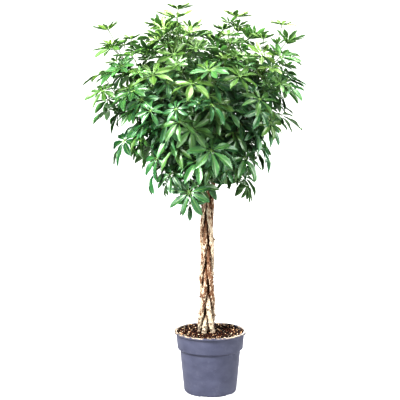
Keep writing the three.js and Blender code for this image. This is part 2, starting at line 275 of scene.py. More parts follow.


# Leaf cuticle: a waxy upper skin on thin green tissue, a paler matt underside, and a yellow-green
# midrib. The underside's paler green is partly its own colour and partly a painted glow of light shining
# through the leaf. The eye gets a broad pale sheen along each half of the folded leaflet. The mesh's info is
# age, tint, the share of the length, and the share across from edge to edge.
def leafCuticle():
    look = leafLook
    material, add, place = newMaterial("waxyLeafCuticle")
    info = add("Attribute", attribute_name="info")
    under = add("Attribute", attribute_name="under").outputs["Fac"]
    age, tint, along = add("SeparateColor", [info]).outputs
    # across runs from 0 on the midrib to 1 on the edge
    across = add("Math", [info.outputs["Alpha"], 0.5], operation="SUBTRACT")
    across = add("Math", [across], operation="ABSOLUTE")
    across = add("Math", [across, 2], operation="MULTIPLY")
    blotch = add("TexNoise", {"Vector": place, "Scale": patternScale(look["blotch"]), "Detail": 3})
    tone = add("MapRange", [add("Math", [tint, blotch], operation="ADD"), *look["tone"]])
    old = add("Mix", {0: tone, 6: look["old"], 7: look["oldBright"]}, data_type="RGBA")
    young = add("Mix", {0: tone, 6: look["young"], 7: look["youngBright"]}, data_type="RGBA")
    green = add("Mix", {0: age, 6: old, 7: young}, data_type="RGBA")
    # side veins run forward from the midrib: a wave of along less a share of across
    slant = add("Math", [across, -look["veinSlant"], along], operation="MULTIPLY_ADD")
    wave = add("Math", [slant, look["sideVeins"] * fullTurn], operation="MULTIPLY")
    vein = add("MapRange", [add("Math", [wave], operation="SINE"), look["veinStart"], 1])
    veined = add("Math", [vein, look["veinTone"]], operation="MULTIPLY")
    rib = add("MapRange", [across, *look["ribEdge"]])
    fade = add("MapRange", [along, 1, 0.35, *look["ribTone"]])
    rib = add("Math", [rib, fade], operation="MULTIPLY")
    # the underside's paler green: its own colour, and a painted glow of light shining through the leaf
    underColourAndGlow = add("Math", [under, look["underTone"]], operation="MULTIPLY")
    stalk = add("MapRange", [along, *look["stalkEnd"]])
    for share, colour in ((veined, "rib"), (rib, "rib"), (underColourAndGlow, "under"), (stalk, "stalk")):
        green = add("Mix", {0: share, 6: green, 7: look[colour]}, data_type="RGBA")
    rough = add("MapRange", [under, 0, 1, *look["roughness"]])
    cells = add("TexNoise", {"Vector": place, "Scale": patternScale(look["ripple"])})
    relief = add("Math", [vein, -look["veinDepth"], cells], operation="MULTIPLY_ADD")
    finishMaterial(add, green, rough, relief, look["bump"], {
        "IOR": 1.45, "Coat Weight": 1, "Coat Roughness": 0.42,
        "Subsurface Weight": 0.12, "Subsurface Radius": (0.5, 1, 0.15), "Subsurface Scale": 0.002,
    })
    return material


stalkLook = {
    "old": "#3c5527", "young": "#4f6630", "woody": "#6e6240", "roughness": 0.42, "bump": (0.3, 0.6),
    "blotch": 1000 / 60, "blotchTone": 0.4,  # mm across a paler patch, and how much younger it looks
}


# Green leaf stalk: smooth living skin, deep green and browner where it turns to wood, with a soft wax
# bloom. The mesh's info is age and how woody it is.
def stalkSkin():
    look = stalkLook
    material, add, place = newMaterial("greenStalkSkin")
    age, woody, _ = add("SeparateColor", [add("Attribute", attribute_name="info")]).outputs
    blotch = add("TexNoise", {"Vector": place, "Scale": patternScale(look["blotch"]), "Detail": 3})
    young = add("Math", [blotch, look["blotchTone"], age], operation="MULTIPLY_ADD")
    green = add("Mix", {0: young, 6: look["old"], 7: look["young"]}, data_type="RGBA")
    green = add("Mix", {0: woody, 6: green, 7: look["woody"]}, data_type="RGBA")
    finishMaterial(add, green, look["roughness"], blotch, look["bump"], {"IOR": 1.45})
    return material


barkLook = {
    # dark is the nearly black brown of the painted shade between stems and round the plait's middle
    "light": "#b6ac9c", "mid": "#b5a998", "brown": "#745a47", "dark": "#634026", "stub": "#4a2f1c",
    "stops": (0.64, 0.84, 1),  # where light, mid and brown lie
    "fissure": 4.4, "fissureLength": 0.22,  # mm between the lengthwise cracks, drawn coarser than real ones
    "patch": 5.5, "patchLength": 0.4,  # mm across the colour patches; a length under 1 draws them out
    "patchTone": 0.75, "fissureTone": 0.5, "hollowTone": 0.32,
    "stubEdge": (0.35, 0.75), "stubTone": 0.85, "roughness": 0.86, "bump": (1, 3),
}


# Bark of a young umbrella tree: thin, dry and corky, cream where it stands out, and brown in its leaf scars
# and in its cracks and hollows, partly the bark's own colour and partly painted shade. It is nearly black
# between two stems and round the plait's middle line, which is painted shade, and darker towards the crown,
# painted shade under the leaves. It has no gloss. The mesh's info is how hollow a point lies, how deep in the
# plait, the stem's tone, and how much it is a pruned stub.
def corkyBark():
    look = barkLook
    material, add, place = newMaterial("corkyBark")
    info = add("Attribute", attribute_name="info")
    hollow, plaitShade, tone = add("SeparateColor", [info]).outputs
    drawn = add("Mapping", {"Vector": place, "Scale": (1, 1, look["patchLength"])})
    patch = {"Vector": drawn, "Scale": patternScale(look["patch"]), "Detail": 4, "Roughness": 0.7}
    patch = add("TexNoise", patch)
    drawn = add("Mapping", {"Vector": place, "Scale": (1, 1, look["fissureLength"])})
    crack = add("TexNoise", {"Vector": drawn, "Scale": patternScale(look["fissure"]), "Detail": 3})
    # patches, cracks and hollows move the tone towards brown where the relief sinks: partly the bark's own
    # colour, partly painted shade
    for part, weight in ((patch, "patchTone"), (crack, "fissureTone"), (hollow, "hollowTone")):
        tone = add("Math", [part, look[weight], tone], operation="MULTIPLY_ADD")
    colours = (look[key] for key in ("light", "mid", "brown"))
    colour = add("ValToRGB", [tone], list(zip(look["stops"], colours)))
    # pruned side shoots leave dry, dark stubs
    stub = add("MapRange", [info.outputs["Alpha"], *look["stubEdge"], 0, look["stubTone"]])
    # the painted shade between two stems and round the plait's middle turns the bark nearly black
    for share, dark in ((stub, "stub"), (plaitShade, "dark")):
        colour = add("Mix", {0: share, 6: colour, 7: look[dark]}, data_type="RGBA")
    height = add("Math", [crack, patch], operation="ADD")
    finishMaterial(add, colour, look["roughness"], height, look["bump"], {"IOR": 1.45}, sunken=True)
    return material


potLook = {
    # lip is the pale cream on the lip's top: partly soil dust, partly a painted highlight
    "light": "#555767", "dark": "#484a5a", "dust": "#757681", "lip": "#b9aa94",
    "cloud": 60, "cloudHeight": 1.6, "cloudEdge": (0.3, 0.7),  # mm across; a height over 1 flattens them
    "dustPatch": 1000 / 55, "dustEdge": (0.55, 0.8), "dustTone": 0.35,
    "lipDustAndHighlight": (0.2352, 0.2385), "lipEdge": (0.42, 0.58),  # metres up, where the lip's pale dust and painted highlight start and are full
    "grain": 1.1,  # mm; a mould's grain is finer, and is drawn this coarse to show
    "roughness": (0.36, 0.6), "bump": (0.12, 0.4),
}


# Injection-moulded polypropylene: slate grey-blue, faintly clouded where the melt flowed, with a soft
# sheen and a little dry dust. The lip's top is pale cream, partly soil dust and partly a painted highlight.
def mouldedPlastic():
    look = potLook
    material, add, place = newMaterial("mouldedPolypropylene")
    drawn = add("Mapping", {"Vector": place, "Scale": (1, 1, look["cloudHeight"])})
    cloud = add("TexNoise", {"Vector": drawn, "Scale": patternScale(look["cloud"]), "Detail": 4})
    cloud = add("MapRange", [cloud, *look["cloudEdge"]])
    dust = {"Vector": place, "Scale": patternScale(look["dustPatch"]), "Detail": 6, "Roughness": 0.7}
    dust = add("TexNoise", dust)
    dusty = add("MapRange", [dust, *look["dustEdge"], 0, look["dustTone"]])
    # pale cream on the flat top of the lip and the top of its face: partly dry soil dust, partly a painted
    # highlight on its lit edge
    flat = add("MapRange", [add("SeparateXYZ", [place]).outputs["Z"], *look["lipDustAndHighlight"]])
    lip = add("Math", [flat, add("MapRange", [dust, *look["lipEdge"]])], operation="MULTIPLY")
    colour = look["dark"]
    for share, other in ((cloud, "light"), (dusty, "dust"), (lip, "lip")):
        colour = add("Mix", {0: share, 6: colour, 7: look[other]}, data_type="RGBA")
    grain = add("TexNoise", {"Vector": place, "Scale": patternScale(look["grain"])})
    rough = add("MapRange", [dust, 0, 1, *look["roughness"]])
    finishMaterial(add, colour, rough, grain, look["bump"], {"IOR": 1.49})
    return material


soilLook = {
    "light": "#4b291a", "mid": "#311a0f", "dark": "#110804", "stops": (0.4, 0.75, 1),
    "crumb": 4.8, "cloud": 1000 / 90,  # mm across a crumb and a darker patch
    "roughness": 0.9, "bump": (0.9, 2.5),
}


# Potting soil: damp peat and composted bark, red-brown on its crumbs and nearly black in its hollows; the
# darkening into the hollows is painted shade.
def dampPeat():
    look = soilLook
    material, add, place = newMaterial("dampPeat")
    crumb = add("TexVoronoi", {"Vector": place, "Scale": patternScale(look["crumb"])})
    cloud = add("TexNoise", {"Vector": place, "Scale": patternScale(look["cloud"]), "Detail": 5})
    # one pattern both sinks the surface and darkens it, so the hollows get a painted shade
    shade = add("Math", [crumb, cloud], operation="ADD")
    colours = (look[key] for key in ("light", "mid", "dark"))
    colour = add("ValToRGB", [shade], list(zip(look["stops"], colours)))
    finishMaterial(add, colour, look["roughness"], shade, look["bump"], {"IOR": 1.4}, sunken=True)
    return material


# Bits in the soil: composted bark, dry wood fibre and perlite, a popped volcanic glass that is chalk
# white under its dust. Each has a dark and a light colour and a roughness.
chipLook = {
    "compostedBark": ("#26140c", "#653824", 0.85),
    "dryWoodFibre": ("#8f6f55", "#d6bb9b", 0.8),
    "perlite": ("#bbaa90", "#dfd1ba", 0.75),
}
chipPatch = {"size": 1000 / 260, "edge": (0.35, 0.65), "bump": (0.5, 0.8)}  # mm across a paler patch on a bit


def chipMaterial(name, dark, light, roughness):
    look = chipPatch
    material, add, place = newMaterial(name)
    cloud = add("TexNoise", {"Vector": place, "Scale": patternScale(look["size"]), "Detail": 3})
    blend = add("MapRange", [cloud, *look["edge"]])
    colour = add("Mix", {0: blend, 6: dark, 7: light}, data_type="RGBA")
    finishMaterial(add, colour, roughness, cloud, look["bump"], {"IOR": 1.4})
    return material


# pot
potShape = {
    "height": 240, "lip": 140, "lipHeight": 8, "wall": 2.6, "floor": 3,
    "axis": 0.01,  # the radius of the two faces that close its middle
    # radius and height of the outline's corners
    "base": (98, 0), "corner": (102, 6), "bodyTop": (118, 166),
    "collarBottom": (127.5, 173), "collarTop": (132.5, 232),
    # height and depth of the faint rings moulded into the wall under the step
    "rings": ((163.5, 2.6), (155, 1.0), (148, 0.8), (141, 0.5)), "ringWidth": 1.5,
    "notches": 6, "notchTurn": -1.83, "notchHalfWidth": 14, "notchInner": 91, "notchHeight": 2.4,
    "notchEdge": 3, "notchSlope": 6,  # mm over which it rises at its sides and outward
    "columns": 192,
}


# A rounded outline: each corner becomes a short Bezier curve that leaves its two sides smoothly and
# takes up at most 0.45 of each. Long straight stretches get points between.
def roundedOutline(corners, spacing=12):
    points = []
    for k, (r, z, fillet) in enumerate(corners):
        here = np.array([r, z], float)
        if fillet == 0:
            points.append(here[None])
            continue
        before = np.array(corners[k - 1][:2], float) - here
        after = np.array(corners[k + 1][:2], float) - here
        cut = min(fillet, 0.45 * np.linalg.norm(before), 0.45 * np.linalg.norm(after))
        curve = np.array([here + unit(before) * cut, here, here + unit(after) * cut])
        points.append(bezier(curve, np.linspace(0, 1, 6)))
    line = np.concatenate(points)
    filled = [line[:1]]
    for a, b in zip(line[:-1], line[1:]):
        n = max(1, round(float(np.linalg.norm(b - a)) / spacing))
        filled.append(a + (b - a) * (np.arange(1, n + 1) / n)[:, None])
    return np.concatenate(filled)


# The pot: its rounded outline turned about Z. A ring is a bell-shaped dip in the radius, and a notch
# lifts the foot over a short width.
def makePot(plastic):
    p = potShape
    lipBottom = p["height"] - p["lipHeight"]
    # the outline's corners, each with its fillet, up the outside and down the inside
    outer = [
        (p["axis"], 0, 0), (*p["base"], 2), (*p["corner"], 4), (*p["bodyTop"], 1.5), (*p["collarBottom"], 2),
        (p["collarTop"][0], lipBottom, 1.5), (p["lip"], lipBottom, 1.5), (p["lip"], p["height"], 4),
    ]
    inner = [(p["collarTop"][0] - p["wall"], p["height"], 2)]
    for corner, fillet in (("collarBottom", 5), ("bodyTop", 5), ("corner", 3)):
        inner.append((p[corner][0] - p["wall"], p[corner][1], fillet))
    inner += [(p["base"][0] - p["wall"], p["floor"], 1), (p["axis"], p["floor"], 0)]
    r, z = roundedOutline(outer + inner).T
    outside = np.arange(len(r)) < np.argmax(z)
    for height, depth in p["rings"]:
        r = r - outside * depth * np.exp(-((z - height) / p["ringWidth"]) ** 2)
    turn = turnsOf(p["columns"])
    radius, height = r[:, None] + 0 * turn, z[:, None] + 0 * turn
    pitch = fullTurn / p["notches"]
    off = (turn - p["notchTurn"] + pitch / 2) % pitch - pitch / 2
    across = smooth((p["notchHalfWidth"] - np.abs(off) * radius) / p["notchEdge"] + 0.5)
    foot = (height < p["corner"][1]) & outside[:, None] & (radius > p["notchInner"] - p["notchSlope"])
    lift = smooth((radius - p["notchInner"]) / p["notchSlope"] + 0.5) * across * p["notchHeight"]
    height = height + foot * np.maximum(0, lift - height * 0.6)
    points = around(radius, turn, height)[None]
    makePiece("nurseryPot", [{"points": points}], [plastic], "pot", sharpAngle=40)
    print("pot made")


# soil
soilShape = {
    "top": 233, "edgeRise": 3, "riseEnd": 128.6,  # its height, and its rise at a distance from the middle
    "inset": 2.9, "edgeGap": 1.2, "floor": 3.3, "axis": 0.05,
    "lump": (26, 4.8), "crumb": (5, 2.2),  # length and height of the lumps and of the crumbs on them
    "rows": 64, "columns": 180,
}


# low lumps with finer crumbs on them, rising a little towards the pot's wall
def soilHeight(x, y):
    s = soilShape
    height = s["top"] + s["edgeRise"] * (np.hypot(x, y) / s["riseEnd"]) ** 2
    for layer, kind in enumerate(("lump", "crumb")):
        length, rise = s[kind]
        height = height + rise * roughness3(together(x / length, y / length, layer))
    return height


def makeSoil(peat, chips):
    s, p = soilShape, potShape
    edge = p["collarTop"][0] - s["inset"] - s["edgeGap"]
    turn = turnsOf(s["columns"])
    top = around(np.linspace(edge, s["axis"], s["rows"])[:, None], turn, 0)
    top[..., 2] = soilHeight(top[..., 0], top[..., 1])
    wall = [(s["axis"], s["floor"]), (p["base"][0] - s["inset"], s["floor"])]
    wall += [(p[key][0] - s["inset"], p[key][1]) for key in ("corner", "bodyTop", "collarBottom")]
    radius, height = np.array(wall).T[..., None]
    points = np.concatenate([around(radius, turn, height), top])[None]
    makePiece("pottingSoil", [{"points": points}], [peat], "soil", sharpAngle=40)
    makeCrumbs(edge, chips)
    print("soil made")


crumbShape = {
    "count": 1500, "spread": 0.985, "dent": 0.25, "seed": 5,
    "size": (0.9, 3.5), "smaller": 2.5,  # mm to a corner; a higher power gives more small ones
    "stretch": ((1, 1.9), (0.7, 1.2), (0.5, 0.9)),  # the least and most along each of its own axes
    "raised": 0.3,  # how far its middle lies above the soil, as a share of its size
    "pale": (0.2, 0.6),  # the share of pale bits in the middle and at the wall
}


# Crumbs: stretched and dented twenty-sided chips, each turned at random and sunk by about a third.
def makeCrumbs(edge, chips):
    c = crumbShape
    rng = np.random.default_rng(c["seed"])
    n = c["count"]
    golden = (1 + 5 ** 0.5) / 2
    base = unit(np.array([(0, a, b * golden) for a in (-1, 1) for b in (-1, 1)], float))
    base = np.concatenate([base, base[:, [2, 0, 1]], base[:, [1, 2, 0]]])
    r = edge * np.sqrt(rng.random(n)) * c["spread"]
    turn = rng.random(n) * fullTurn
    x, y = r * np.cos(turn), r * np.sin(turn)
    size = mix(*c["size"], rng.random(n) ** c["smaller"])
    stretch = np.stack([mix(least, most, rng.random(n)) for least, most in c["stretch"]], axis=-1)
    turned = np.linalg.qr(rng.normal(size=(n, 3, 3)))[0]
    turned[:, :, 0] *= np.sign(np.linalg.det(turned))[:, None]
    dent = 1 + c["dent"] * (rng.random((n, len(base), 1)) - 0.5)
    shape = base * dent * (size[:, None] * stretch)[:, None]
    points = np.einsum("nij,nkj->nki", turned, shape)
    points += together(x, y, soilHeight(x, y) + size * c["raised"])[:, None]
    # the pale, light bits float to the wall when the pot is watered
    pale = rng.random(n) < mix(*c["pale"], (r / edge) ** 4)
    kind = np.where(pale, rng.integers(1, len(chips), n), 0)
    hull = convexFaces(base)
    for k, material in enumerate(chips):
        makeChips(f"soilBits{k + 1}", points[kind == k], hull, material)


# the faces of a small convex shape about the origin: every three points with all others on one side
def convexFaces(points):
    faces = []
    for a, b, c in permutations(range(len(points)), 3):
        if a < b and a < c:
            normal = np.cross(points[b] - points[a], points[c] - points[a])
            if np.all((points - points[a]) @ normal < 1e-6):
                faces.append((a, b, c))
    return np.array(faces)


def makeChips(name, points, hull, material):
    n, corners = points.shape[:2]
    faces = (hull[None] + np.arange(n)[:, None, None] * corners).reshape(-1, 3)
    mesh = bpy.data.meshes.new(name)
    mesh.from_pydata((points.reshape(-1, 3) * millimetre).tolist(), [], faces.tolist())
    addPiece(name, mesh, [material])


# trunk: the plait's rule, as in the solids. A stem swings from side to side as a sine, and from front
# to back twice as often, up to the split, and then leans out as a leader.
trunkShape = {
    "x": -13, "stems": 5, "sunk": 75, "split": 745, "leaderTop": 1150, "plaitLength": 930, "plaitTurn": -0.52,
    "halfWidthSoil": 19.5, "halfWidthSplit": 16.8, "sway": 0.1, "baseSpread": 0.3,
    "baseSpreadHeight": 110, "leaderReach": 78, "leaderCurve": 1.3,
    "radiusSoil": 8.9, "radiusSplit": 7.6, "radiusTop": 5,
    "fuller": 1.04,  # a stem's radius over the solid's
    "sides": 28, "rows": 420, "seed": 40,
}


def crownAxis(z):
    return trunkShape["x"] + crownShape["lean"] * smooth((z - trunkShape["split"]) / crownShape["leanHeight"])


def upTrunk(z):
    return (z - soilShape["top"]) / (trunkShape["split"] - soilShape["top"])


def upLeader(z):
    t = trunkShape
    return np.maximum(0, (z - t["split"]) / (t["leaderTop"] - t["split"]))


def stemPoint(index, z):
    t = trunkShape
    z = np.asarray(z, float)
    plaited = np.minimum(z, t["split"])
    turns = index / t["stems"] + (plaited - soilShape["top"]) / t["plaitLength"]
    turn = t["plaitTurn"] + turns * fullTurn
    nearSoil = 1 - smooth((z - soilShape["top"]) / t["baseSpreadHeight"])
    width = mix(t["halfWidthSoil"], t["halfWidthSplit"], smooth(upTrunk(z)))
    spread = width * (1 + t["baseSpread"] * nearSoil) + t["leaderReach"] * upLeader(z) ** t["leaderCurve"]
    x = crownAxis(z) + spread * (np.sin(turn) - t["sway"] * np.sin(3 * turn))
    return together(x, spread * np.sin(2 * turn), z)


def stemRadius(z):
    t = trunkShape
    plaited = mix(t["radiusSoil"], t["radiusSplit"], smooth(upTrunk(z)))
    return np.where(z < t["split"], plaited, mix(t["radiusSplit"], t["radiusTop"], upLeader(z)))


crownShape = {
    "lean": -32, "leanHeight": 350, "shoots": 24, "lowest": 856, "highest": 1365, "heightPower": 0.66,
    "firstTurn": -1.95, "unevenness": (0.9, 1.06),
    # height and radius of the surface that the shoot tips lie on, as in the solids
    "outline": (
        (820, 50), (870, 105), (930, 130), (1000, 135), (1050, 165), (1090, 240), (1130, 305), (1190, 336),
        (1270, 316), (1325, 250), (1370, 40),
    ),
    # height and radius that no added leaf reaches past
    "reach": (
        (880, 240), (940, 215), (1000, 240), (1045, 390), (1090, 430), (1300, 430), (1400, 380), (1500, 300),
    ),
}
branchShape = {
    "rise": 0.8, "leastRise": 60, "belowTop": 10, "bendAt": 0.55, "droop": 0.13, "woodShare": 0.46,
    "start": 4.3, "end": 3.2, "tip": 2.2, "sides": 12, "rows": 60, "seed": 80,
}


# Shoot i's path, as in the solids: a curve from its stem to a tip on the crown's surface, a golden
# angle round from the last.
def shootPlan(i):
    c, b = crownShape, branchShape
    share = (i + 0.5) / c["shoots"]
    z = mix(c["lowest"], c["highest"], share ** c["heightPower"])
    radius = float(np.interp(z, *zip(*c["outline"]))) * mix(*c["unevenness"], growthDraw(i, 1))
    turn = c["firstTurn"] + i * goldenAngle
    tip = np.array([crownAxis(z) + radius * math.cos(turn), radius * math.sin(turn), z])
    ends = [stemPoint(index, trunkShape["leaderTop"]) for index in range(trunkShape["stems"])]
    stem = int(np.argmin([math.hypot(end[0] - tip[0], end[1] - tip[1]) for end in ends]))
    low = min(trunkShape["leaderTop"] - b["belowTop"], z - max(b["leastRise"], b["rise"] * radius))
    start = stemPoint(stem, low)
    reach = tip - start
    bend = start + b["bendAt"] * reach - up * b["droop"] * np.linalg.norm(reach)
    return {"index": i, "share": share, "stem": stem, "path": np.array([start, bend, tip])}


barkShape = {
    "scarSpacing": 31, "scarUneven": 0.6, "scarTurn": 0.4, "scarStray": 0.5,
    "scarHeight": 1.1, "scarLength": 2.2, "scarCurve": 2.2, "scarWidth": 1.1,
    "knobs": 46, "knobHeight": 5.4, "knobLength": 3.8, "knobWidth": 0.42,
    # height, number round the stem, and length of the corky lumps and of the finer grain
    "lump": (1.8, 1.5, 15), "grain": (1.3, 3.5, 9), "swell": (0.7, 34),
    # how much each lowers a point's share of brown; brown in the hollows is partly the bark's own colour and
    # partly painted shade
    "hollow": {"lumps": 1.5, "grain": 1.7, "scars": -0.45, "knobs": 0.1},
    # mm over which the painted shade fades from another stem's skin; then the distance from the plait's
    # middle line within which it is full, and over which it fades
    "plaitShadeWidth": 6.5, "heart": 11, "heartEdge": 9,
    "tones": (-0.05, 0.2, 0.02, 0.1, 0.16),  # how much each stem's tone moves towards brown
    # height and length of the change in tone up the trunk and down its foot, and its amount; the darkening up
    # the trunk towards the crown is painted shade under the leaves
    "shadeUnderCrown": (330, 400, 0.1), "paler": (380, 120, 0.2),
}


# Bark relief over the turn round the stem and the length along it: crescent leaf scars two fifths of a
# turn apart, knobs where side shoots were pruned, corky lumps, a finer grain, and slow swellings. A
# scar or a knob is a bell of the distance from its middle. A noise goes about half a unit up and down,
# so it counts double.
def barkRelief(turn, along, radius, seed):
    b = barkShape
    rng = np.random.default_rng(seed)

    def turnFrom(facing):
        return np.angle(np.exp(1j * (turn - facing)))

    def noise(kind, offset):
        height, fineness, length = b[kind]
        return height, roughness3(around(fineness, turn, along / length) + offset)

    scars = np.zeros(np.broadcast(turn, along).shape)
    for n in range(int(along.max() / b["scarSpacing"]) + 1):
        middle = (n + 0.5 + b["scarUneven"] * (rng.random() - 0.5)) * b["scarSpacing"]
        off = turnFrom(n * b["scarTurn"] * fullTurn + b["scarStray"] * rng.random())
        rise = along - middle + b["scarCurve"] * np.cos(off)
        scars = np.maximum(scars, np.exp(-(rise / b["scarLength"]) ** 2 - (off / b["scarWidth"]) ** 4))
    knobs = np.zeros_like(scars)
    for n in range(b["knobs"]):
        far = (along - rng.random() * along.max()) / b["knobLength"]
        off = turnFrom(rng.random() * fullTurn) / b["knobWidth"]
        knobs = np.maximum(knobs, np.exp(-far ** 2 - off ** 2))
    lumpHeight, lumps = noise("lump", seed)
    grainHeight, grain = noise("grain", -seed)
    swellHeight, swellLength = b["swell"]
    swell = latticeNoise(together(along / swellLength, seed, 0)) - 0.5
    relief = b["scarHeight"] * scars + b["knobHeight"] * knobs
    relief = relief + 2 * (lumpHeight * lumps + grainHeight * grain + swellHeight * swell)
    h = b["hollow"]
    raised = h["lumps"] * lumps + h["grain"] * grain + h["scars"] * scars + h["knobs"] * knobs
    # how hollow a point is sets its brown: partly the bark's own colour in its cracks, partly painted shade
    # in its hollows
    return relief * radius / trunkShape["radiusSoil"], np.clip(0.5 - raised, 0, 1), knobs


# How deep a point lies in the plait, from 0 to 1, which the bark takes as painted shade: it falls off with
# the distance from the nearest other stem's skin, and with the distance from the plait's own middle line.
def plaitShadeDepth(points, index):
    b = barkShape
    x, y, z = np.moveaxis(points, -1, 0)
    deepest = 1 - smooth((np.hypot(x - crownAxis(z), y) - b["heart"]) / b["heartEdge"])
    for other in range(trunkShape["stems"]):
        if other != index:
            axis = stemPoint(other, z)
            gap = np.hypot(x - axis[..., 0], y - axis[..., 1]) - stemRadius(z)
            deepest = np.maximum(deepest, 1 - smooth(gap / b["plaitShadeWidth"]))
    return deepest


# a tube whose radius is a stem's or branch's own with the bark's relief added
def barkTube(path, radius, reference, sides, seed, index):
    b = barkShape
    step = np.linalg.norm(np.diff(path, axis=0), axis=-1)
    along = np.concatenate([[0], np.cumsum(step)])[:, None]
    relief, hollow, knobs = barkRelief(turnsOf(sides)[None], along, radius[:, None], seed)
    grid = tubeGrid(path, radius[:, None] + relief, reference, sides)
    fromHeight, over, brown = b["shadeUnderCrown"]
    downFrom, within, pale = b["paler"]
    z = grid[..., 2]
    # the trunk darkens towards the crown: painted shade under the leaves
    tone = b["tones"][index] + brown * smooth((z - fromHeight) / over)
    tone = tone - pale * smooth((downFrom - z) / within)
    info = together(hollow, plaitShadeDepth(grid, index), tone, knobs)
    return {"points": grid[None], "info": info[None]}


def makeStems(plans, bark):
    t, b = trunkShape, branchShape
    z = np.linspace(soilShape["top"] - t["sunk"], t["leaderTop"], t["rows"])
    share = np.linspace(0, b["woodShare"], b["rows"])
    branchRadius = mix(b["start"], b["end"], share / b["woodShare"])
    for index in range(t["stems"]):
        path, radius = stemPoint(index, z), stemRadius(z) * t["fuller"]
        seam = np.array([1.0, 0.02, 0.0])
        surfaces = [barkTube(path, radius, seam, t["sides"], t["seed"] + index, index)]
        for plan in plans:
            if plan["stem"] == index:
                path = bezier(plan["path"], share)
                seam = np.cross(path[-1] - path[0], up)
                seed = b["seed"] + plan["index"]
                surfaces.append(barkTube(path, branchRadius, seam, b["sides"], seed, index))
        name, node = f"plaitedStem{index + 1}", f"stem_{index + 1}"
        makePiece(name, surfaces, [bark], node, sharpAngle=60)
    print("stems made")


# leaves

# How a leaf grows, as in the solids. A pair is for a shoot's lowest and highest leaf, or for the
# crown's lowest and highest shoot. A stray is how far a draw may move the value.
leafGrowth = {
    "perShoot": 5, "along": (0.55, 0.985), "tries": 40, "thickness": 1,
    "match": 0.05,  # mm between a try and the solid's own corner at most
    "turnStray": 0.8, "turnStep": 0.16, "spread": (1.25, 0.4), "spreadStep": 0.12, "spreadWave": 2.4,
    "outward": (0.5, 0.15), "rise": (-0.32, 0.35), "riseBy": 1.2,
    "stalk": 118, "stalkStray": 30, "drawnIn": 0.01, "bend": 7,
    "lift": (0.7, 1.1), "liftStray": 0.6, "faceOut": (0.3, 0.05),
    "length": 98, "lengthStray": 12, "shorter": 12,
    "droop": (0.55, -0.15), "droopStray": 0.2, "twistStep": 0.4,
    "hangTilt": 0.9, "hangDroop": 0.3,  # for the one leaf that hangs before the trunk
}


# from the crown's middle line to a point, level or tipped up by rise
def outwardFrom(point, rise=0.0):
    return unit(np.array([point[0] - crownAxis(point[2]), point[1], rise]))


# to the front or the back, whichever side of the crown a point is on
def frontOrBack(point, rise=0.0):
    return np.array([0, math.copysign(1, point[1]), rise])


# a leaf's axes: it faces one way, points roughly another, and across is square to both
def leafAxes(facing, forward):
    facing = unit(facing)
    forward = squareTo(facing, forward)
    return {"facing": facing, "forward": forward, "across": np.cross(facing, forward)}


# Where leaf k of a shoot lies, for each of its tries at once. Each new try turns the leaf a little
# further round its shoot and draws it in.
def leafTries(plan, k, along, rank, tries):
    g = leafGrowth
    i, share = plan["index"], plan["share"]
    c = np.arange(tries)
    root = bezier(plan["path"], np.array([along]))[0]
    axis = bezierTangent(plan["path"], along)
    outward = outwardFrom(root)
    side = unit(np.cross(axis, outward))
    front = np.cross(side, axis)
    nudge = np.ceil(c / 2) * np.where(c % 2, 1, -1)
    turn = (k * goldenAngle + g["turnStray"] * growthDraw(i, 10 + k) + g["turnStep"] * nudge)[:, None]
    spread = (mix(*g["spread"], rank) + g["spreadStep"] * np.sin(g["spreadWave"] * c))[:, None]
    stalk = unit(
        side * np.sin(spread) * np.sin(turn) + front * np.sin(spread) * np.cos(turn) + axis * np.cos(spread)
        + outward * mix(*g["outward"], share) + up * mix(*g["rise"], smooth(g["riseBy"] * share))
    )
    length = g["stalk"] + g["stalkStray"] * (growthDraw(i, 30 + k) - 0.5)
    reach = (length * (1 - g["drawnIn"] * c))[:, None]
    lift = mix(*g["lift"], share) + g["liftStray"] * growthDraw(i, 110 + k)
    return {
        **leafAxes(stalk + up * lift + outward * mix(*g["faceOut"], share), stalk), "rank": rank,
        "root": root, "bend": root + stalk * 0.5 * reach + axis * g["bend"], "hub": root + stalk * reach,
        "length": g["length"] + g["lengthStray"] * (2 * growthDraw(i, 50 + k) - 1) - g["shorter"] * rank,
        "droop": mix(*g["droop"], share) + g["droopStray"] * (growthDraw(i, 70 + k) - 0.5),
        "twist": growthDraw(i, 90 + k) * fullTurn + g["twistStep"] * c,
    }


def pickTry(tries, c):
    changing = ("bend", "hub", "facing", "forward", "across", "twist")
    return {**tries, **{key: tries[key][c] for key in changing}}


# a leaf that isn't in the solids, as its first try
def grownLeaf(plan, k, along, rank):
    return pickTry(leafTries(plan, k, along, rank, 1), 0)


# turns a leaf's face towards a direction by a share
def tiltLeaf(leaf, towards, share):
    return {**leaf, **leafAxes(leaf["facing"] + share * towards, leaf["forward"])}


# cuts a leaf's stalk down to a share
def shortenStalk(leaf, share):
    return {**leaf, **{key: mix(leaf["root"], leaf[key], share) for key in ("bend", "hub")}}


# The leaves of a shoot that its solid holds: the try whose hub is one of the solid's own corners.
def solidLeaves(plan, node):
    g = leafGrowth
    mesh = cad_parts[node].data
    corners = np.empty(len(mesh.vertices) * 3)
    mesh.vertices.foreach_get("co", corners)
    corners = corners.reshape(-1, 3) / millimetre
    leaves = []
    for k in range(g["perShoot"]):
        rank = k / (g["perShoot"] - 1)
        tries = leafTries(plan, k, mix(*g["along"], rank), rank, g["tries"])
        crown = tries["hub"] + tries["facing"] * g["thickness"] / 2
        miss = np.linalg.norm(crown[:, None] - corners[None], axis=-1).min(axis=1)
        if miss.min() < g["match"]:
            leaves.append(pickTry(tries, int(np.argmin(miss))))
    if plan["index"] == 0:  # the crown's lowest leaf hangs before the trunk and faces the viewer
        lowest = min(leaves, key=lambda leaf: leaf["hub"][2])
        lowest.update(tiltLeaf(lowest, toViewer, g["hangTilt"]))
        lowest["droop"] *= g["hangDroop"]
    return leaves


